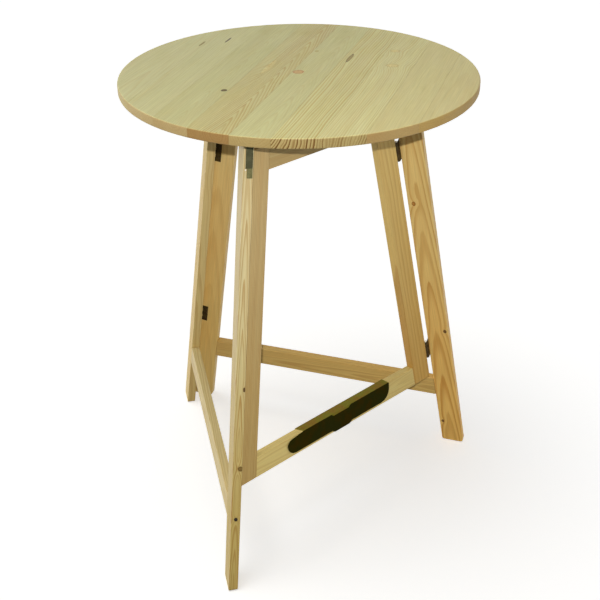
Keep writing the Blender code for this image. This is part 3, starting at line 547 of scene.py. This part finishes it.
def dress(node, material, flat=None):
    """Show a smooth-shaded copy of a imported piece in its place; faces along flat stay flat."""
    packed = frame["nodes"][node]
    mesh = packed.data.copy()
    bm = bmesh.new()
    bm.from_mesh(mesh)
    bmesh.ops.remove_doubles(bm, verts=bm.verts, dist=WELD_DISTANCE)
    bm.normal_update()
    for face in bm.faces:
        face.smooth = flat is None or abs(face.normal.dot(flat)) < FLAT_SHARE
    for edge in bm.edges:
        sides = edge.link_faces
        edge.smooth = (
            len(sides) == 2
            and edge.calc_face_angle(0.0) < SHARP_ANGLE
            and sides[0].smooth == sides[1].smooth
        )
    bm.to_mesh(mesh)
    bm.free()
    mesh.materials.clear()
    mesh.materials.append(material)
    piece = add_object("seen_" + node, mesh)
    weighted = piece.modifiers.new("even shading", "WEIGHTED_NORMAL")
    weighted.keep_sharp = True
    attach(piece, packed["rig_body"])
    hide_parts(node)


def look(wood, tint=NO_TINT, **more):
    """One board's look: a wood times a tint, and the usual values for what isn't given."""
    values = dict(
        knots=(),
        wander=0.012,
        contrast=0.75,
        span=1.0,
        calm=0.3,
        patch=0.45,
        fade=NO_FADE,
        foot=NO_TINT,
        edge=NO_TINT,
        stripe=0.0,
        rim_calm=0.0,
        end=0.55,
        rough=0.50,
        gloss=0.28,
    )
    for name, colour in wood.items():
        values[name] = tuple(value * share for value, share in zip(colour, tint))
    values.update(more)
    return values


def dress_board(name, along, across, seed, style, flat=None):
    """Dress one wooden piece, with its wood placed from the middle of its box."""
    low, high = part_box(name)
    pine = Pine("pine " + name, (low + high) / 2.0, along, across, seed, style)
    dress(name, pine.material, flat)


# Knots on the staves: place, size, stretch and tone
STAVE_KNOTS = {
    1: ((on_top(-0.290, 0.148), 0.0030, (7.0, 0.9, 6.0), SWIRL_KNOT),),
    2: ((on_top(-0.240, 0.194), 0.0034, (6.5, 0.8, 6.0), DARK_KNOT),),
    3: ((on_top(-0.115, -0.159), 0.0068, (1.1, 1.0, 6.0), DARK_KNOT),),
    4: ((on_top(-0.075, 0.020), 0.0200, (3.5, 0.5, 6.0), NO_TINT),),
    5: (
        (on_top(-0.0003, 0.0037), 0.0130, (1.05, 1.0, 6.0), PINK_KNOT),
        (on_top(-0.005, 0.165), 0.0048, ROUND_IN_STAVE, PALE_KNOT),
    ),
    6: ((on_top(0.084, 0.133), 0.0052, (6.5, 0.9, 6.0), SWIRL_KNOT),),
    7: (
        (on_top(0.190, 0.105), 0.0130, WIDE_IN_STAVE, FAINT_SWIRL),
        (on_top(0.172, 0.215), 0.0110, WIDE_IN_STAVE, FAINT_SWIRL),
    ),
}

# The nine staves: tints of the wood and of its rim, and the look of the rings
STAVES = (
    dict(
        tint=(1.05, 1.07, 1.16), edge=(0.84, 0.72, 0.64),
        pith=(0.020, -0.050), taper=0.030, ring=0.0050, contrast=0.28, stripe=0.2,
    ),
    dict(
        tint=(1.02, 1.04, 1.10), edge=(0.88, 0.74, 0.72),
        pith=(-0.05, -0.040), taper=0.020, ring=0.0046, contrast=0.25, stripe=0.2,
    ),
    dict(
        tint=(0.97, 0.99, 1.00), edge=(0.88, 0.74, 0.76),
        pith=(0.010, -0.016), taper=0.100, ring=0.0050, contrast=0.30, stripe=0.2,
    ),
    dict(
        tint=(0.97, 0.94, 0.90), edge=(0.66, 0.48, 0.40),
        pith=(0.019, -0.008), taper=0.120, ring=0.0056, contrast=1.35, stripe=0.4,
        span=0.050, rim_calm=0.8,
    ),
    dict(
        tint=(0.99, 1.01, 1.03), edge=(0.78, 0.66, 0.60),
        pith=(0.010, -0.020), taper=0.110, ring=0.0052, contrast=0.30, stripe=0.2,
    ),
    dict(
        tint=(1.06, 1.07, 1.05), edge=(0.78, 0.69, 0.66),
        pith=(-0.068, -0.025), taper=0.004, ring=0.0058, contrast=1.25, stripe=0.85,
    ),
    dict(
        tint=(1.10, 1.10, 1.12), edge=(0.68, 0.61, 0.56),
        pith=(-0.110, -0.012), taper=-0.010, ring=0.0052, contrast=0.80, stripe=0.80,
    ),
    dict(
        tint=(1.05, 1.00, 0.98), edge=(0.62, 0.49, 0.43),
        pith=(0.050, -0.055), taper=0.030, ring=0.0050, contrast=0.14, stripe=0.2,
    ),
    dict(
        tint=(1.04, 0.98, 0.97), edge=(0.66, 0.51, 0.36),
        pith=(0.000, -0.065), taper=0.020, ring=0.0050, contrast=0.18, stripe=0.2,
    ),
)


def dress_top():
    """The nine staves, which run along Y, and the two battens under them, which run along X."""
    x_axis = Vector((1, 0, 0))
    y_axis = Vector((0, 1, 0))
    for number, stave in enumerate(STAVES, start=1):
        knots = STAVE_KNOTS.get(number, ())
        style = look(TOP_WOOD, knots=knots, patch=0.35, gloss=0.22, **stave)
        name = "top_stave_" + str(number)
        seed = STAVE_SEED_STEP * number
        dress_board(name, y_axis, x_axis, seed, style, flat=x_axis)
    for name, seed in BATTEN_SEEDS.items():
        style = look(LEG_WOOD, **BATTEN_RINGS)
        dress_board(name, x_axis, y_axis, seed, style)


# Knots on the rear frame's right leg, and on the narrow edge at the left frame's front end
REAR_KNOTS = (
    (on_leg(REAR, 1, -0.404, 0.378, -BOARD), 0.0046, ROUND_IN_LEG, DARK_KNOT),
    (on_leg(REAR, 1, -0.364, 0.068, -BOARD), 0.0040, ROUND_IN_LEG, DARK_KNOT),
    (on_leg(REAR, 1, -0.369, 0.751, -BOARD), 0.0052, ROUND_IN_LEG, BROWN_KNOT),
)
FRONT_KNOTS = (
    (on_leg(LEFT, -1, FRONT_END, 0.322, -0.0165), 0.0060, ROUND_IN_END, RINGED_KNOT),
    (on_leg(LEFT, -1, FRONT_END, 0.515, -0.0185), 0.0028, (2.2, 3.0, 0.9), DARK_KNOT),
    # a knot hole, painted near black as the shade inside it
    (on_leg(LEFT, -1, FRONT_END, 0.193, -0.0100), 0.0046, ROUND_IN_END, KNOT_HOLE_SHADE),
)

# Leg boards: frame, which way the leg leans along it, seed, tints of the wood and foot, rings; the foot
# tint is partly the wood's browner foot and partly painted light and shade for the fall-off of the light
# down the legs
LEGS = {
    "rear_right_leg": (
        REAR, 1, 11.0,
        dict(
            tint=(1.19, 1.17, 1.06), foot=(1.19, 1.00, 0.70),
            pith=(0.003, -0.010), taper=0.055, ring=0.0080, contrast=1.15, knots=REAR_KNOTS,
        ),
    ),
    "rear_left_leg": (
        REAR, -1, 13.0,
        dict(
            tint=(1.18, 1.14, 1.07), foot=(1.06, 1.02, 0.85),
            pith=(0.010, -0.040), taper=0.050, ring=0.0080, contrast=0.40,
        ),
    ),
    "left_rear_leg": (
        LEFT, 1, 17.0,
        dict(
            tint=(1.03, 1.06, 1.10), foot=(1.00, 0.97, 0.85),
            pith=(-0.045, -0.030), taper=0.020, ring=0.0050, contrast=0.50,
        ),
    ),
    "left_front_leg": (
        LEFT, -1, 19.0,
        dict(
            tint=(0.97, 1.09, 1.40), foot=(0.84, 0.75, 0.42),
            pith=(0.026, 0.000), taper=0.035, ring=0.0046, contrast=1.10, knots=FRONT_KNOTS,
        ),
    ),
    "right_front_leg": (
        RIGHT, 1, 23.0,
        dict(
            tint=(0.82, 0.82, 0.91), foot=(0.90, 0.82, 0.58),
            pith=(0.060, -0.014), taper=0.015, ring=0.0036, contrast=0.95,
        ),
    ),
    "right_rear_leg": (
        RIGHT, -1, 29.0,
        dict(
            tint=(1.00, 0.96, 0.82), foot=(0.88, 0.74, 0.50),
            pith=(-0.120, -0.020), taper=0.006, ring=0.0125, contrast=0.55,
        ),
    ),
}

# Rails: frame, seed and tint; the right top rail's tint is painted shade from the top above it
RAILS = {
    "rear_foot_rail": (REAR, 31.0, (1.08, 0.96, 0.70)),
    "rear_top_rail": (REAR, 37.0, PALE_RAIL),
    "left_foot_rail": (LEFT, 41.0, (0.98, 1.05, 1.16)),
    "left_top_rail": (LEFT, 43.0, PALE_RAIL),
    "right_foot_rail": (RIGHT, 47.0, (1.05, 1.09, 0.94)),
    "right_top_rail": (RIGHT, 49.0, SHADED_RAIL),
}


def dress_frames():
    """The leg boards and the rails of the three frames."""
    for name, (side, lean, seed, rings) in LEGS.items():
        run, up, _ = directions(side)
        along = up + run * (SLOPE * lean)
        style = look(LEG_WOOD, fade=LEG_FOOT_TONE_AND_FALLOFF, **rings)
        dress_board(name, along, run, seed, style)
    for name, (side, seed, tint) in RAILS.items():
        run, up, _ = directions(side)
        pith = (RAIL_VARIETY * math.sin(seed), RAIL_PITH_DEPTH)
        taper = RAIL_VARIETY * math.cos(seed)
        style = look(LEG_WOOD, tint, pith=pith, taper=taper, **RAIL_RINGS)
        dress_board(name, run, up, seed, style)


def dress_fittings():
    """Hinges, pins, screws, the strap, the stud, and the foot rail's cover and plate."""
    leaf = metal(
        "browned leaf", LEAF_TONES,
        roughness=0.44, metallic=0.10, gloss=0.20, frequency=FINE_PATCH_FREQUENCY,
    )
    strap = metal(
        "olive strap", STRAP_TONES,
        roughness=0.50, metallic=0.05, gloss=0.15, frequency=FINE_PATCH_FREQUENCY,
        lighter_below=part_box("corner_strap")[1].z - STRAP_SHOULDER_DROP,
    )
    # The cover's and plate's reddish-brown patches are a painted reflection
    cover = metal(
        "cover metal", COVER_TONES_AND_REFLECTION,
        roughness=0.50, metallic=0.0, gloss=0.04, frequency=PATCH_FREQUENCY,
    )
    plate = metal(
        "plate metal", PLATE_TONES_AND_REFLECTION,
        roughness=0.55, metallic=0.0, gloss=0.015, frequency=PATCH_FREQUENCY,
    )
    # Pins and stud: near white, a painted highlight
    pin_glint = metal(
        "bright brass", PIN_GLINT_TONES,
        roughness=0.26, metallic=0.35, gloss=0.5, frequency=FINE_PATCH_FREQUENCY,
    )
    screw = metal(
        "dull screw", SCREW_TONES,
        roughness=0.42, metallic=0.30, gloss=0.3, frequency=SCREW_PATCH_FREQUENCY,
    )
    finishes = (
        ("screw", screw, "screw_steel"),
        ("_leaf", leaf, "browned_steel"),
        ("_pin", pin_glint, "brass_bright"),
        ("_stud", pin_glint, "brass_bright"),
        ("_strap", strap, "browned_steel"),
        ("_cover", cover, "browned_steel"),
        ("_plate", plate, "browned_steel"),
    )
    for node in sorted(frame["nodes"]):
        for mark, material, slot in finishes:
            if mark in node:
                dress(node, material)
                break


def shown_rays(tree):
    """1 for the rays that show the background: camera, glossy and transmission rays."""
    path = tree.nodes.new("ShaderNodeLightPath")
    shown = path.outputs["Is Camera Ray"]
    for name in ("Is Glossy Ray", "Is Transmission Ray"):
        larger = tree.nodes.new("ShaderNodeMath")
        larger.operation = "MAXIMUM"
        tree.links.new(shown, larger.inputs[0])
        tree.links.new(path.outputs[name], larger.inputs[1])
        shown = larger.outputs[0]
    return shown


def lay_floor():
    """A pale floor that keeps the table's shadow and throws less light back than it shows."""
    bm = bmesh.new()
    bmesh.ops.create_grid(bm, x_segments=1, y_segments=1, size=FLOOR_SIZE)
    mesh = bpy.data.meshes.new("floor")
    bm.to_mesh(mesh)
    bm.free()
    floor = add_object("floor", mesh)
    n = Nodes("studio floor")
    n.shader.inputs["Roughness"].default_value = FLOOR_ROUGHNESS
    n.shader.inputs["Specular IOR Level"].default_value = FLOOR_GLOSS
    shown = shown_rays(n.tree)
    n.put(n.shader.inputs["Base Color"], n.mix(shown, FLOOR_BOUNCE, FLOOR_SHOWN))
    n.shader.inputs["Emission Color"].default_value = WHITE
    n.put(n.shader.inputs["Emission Strength"], n.times(shown, FLOOR_LIFT))
    mesh.materials.append(n.material)
    floor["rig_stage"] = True
    return floor


def make_sky():
    """An even sky that lights the table softly and is seen as white."""
    world = bpy.data.worlds.new("studio")
    bpy.context.scene.world = world
    world.use_nodes = True
    tree = world.node_tree
    tree.nodes.clear()
    mix = tree.nodes.new("ShaderNodeMixShader")
    tree.links.new(shown_rays(tree), mix.inputs[0])
    for socket, colour, strength in (
        (mix.inputs[1], SKY_LIGHT, SKY_STRENGTH),
        (mix.inputs[2], WHITE, SKY_SHOWN_STRENGTH),
    ):
        background = tree.nodes.new("ShaderNodeBackground")
        background.inputs["Color"].default_value = colour
        background.inputs["Strength"].default_value = strength
        tree.links.new(background.outputs[0], socket)
    out = tree.nodes.new("ShaderNodeOutputWorld")
    tree.links.new(mix.outputs[0], out.inputs["Surface"])


def sun(name, towards, strength, colour):
    """A soft sun that stands in the direction towards."""
    light = bpy.data.lights.new(name, "SUN")
    light.energy = strength
    light.angle = SUN_ANGLE
    light.color = colour
    item = add_object(name, light)
    item.rotation_euler = Vector(towards).to_track_quat("Z", "Y").to_euler()
    item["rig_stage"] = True
    return item


def front_lamp():
    """The small lamp in front, whose light gives the edge of the top's shadow on the legs."""
    data = bpy.data.lights.new("front light", "AREA")
    data.shape = "DISK"
    data.size = FRONT_SIZE
    data.energy = FRONT_POWER
    data.color = FRONT_LIGHT
    front = add_object("front light", data)
    front.location = AXIS + FRONT_PLACE
    aim = front.location - CENTRE * FRONT_AIM_SHARE
    front.rotation_euler = aim.to_track_quat("Z", "Y").to_euler()
    front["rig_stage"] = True
    return front


def hang_lamps(floor):
    """Suns from above and from both sides, one for the floor alone, and the lamp in front."""
    sun("overhead light", FROM_ABOVE, OVERHEAD_STRENGTH, PLAIN_LIGHT)
    left = sun("left light", FROM_LEFT, LEFT_STRENGTH, SIDE_LIGHT)
    right = sun("right light", FROM_RIGHT, RIGHT_STRENGTH, SIDE_LIGHT)
    for light in (left, right):
        light.visible_glossy = False
    below = sun("floor light", FROM_ABOVE, FLOOR_STRENGTH, PLAIN_LIGHT)
    front = front_lamp()
    table = bpy.data.collections.new("front light receivers")
    for item in bpy.data.objects:
        if item.type == "MESH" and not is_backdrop(item):
            table.objects.link(item)
    for light in (front, left, right):
        light.light_linking.receiver_collection = table
    ground = bpy.data.collections.new("floor light receivers")
    ground.objects.link(floor)
    below.light_linking.receiver_collection = ground


def studio():
    """A pale floor, an even sky and soft lights."""
    floor = lay_floor()
    make_sky()
    hang_lamps(floor)


def camera():
    """The camera at the photograph's place and angle."""
    data = bpy.data.cameras.new("camera")
    data.lens = CAMERA_LENS
    data.sensor_width = CAMERA_SENSOR
    data.shift_x, data.shift_y = CAMERA_SHIFT
    data.clip_end = CAMERA_REACH
    item = add_object("camera", data)
    level = math.cos(CAMERA_PITCH)
    ahead = Vector((math.sin(CAMERA_YAW) * level, math.cos(CAMERA_YAW) * level, -math.sin(CAMERA_PITCH)))
    right = Vector((math.cos(CAMERA_YAW), -math.sin(CAMERA_YAW), 0.0))
    up = right.cross(ahead)
    turned_right = right * math.cos(CAMERA_ROLL) + up * math.sin(CAMERA_ROLL)
    turned_up = up * math.cos(CAMERA_ROLL) - right * math.sin(CAMERA_ROLL)
    axes = Matrix((turned_right, turned_up, -ahead)).transposed()
    axes = Matrix.Rotation(CAMERA_TURN, 3, "Z") @ axes
    item.matrix_world = Matrix.Translation(AXIS + CAMERA_PLACE) @ axes.to_4x4()
    bpy.context.scene.camera = item


dress_top()
dress_frames()
dress_fittings()
studio()
camera()
bpy.context.scene.view_settings.view_transform = "Standard"

bpy.context.view_layer.update()
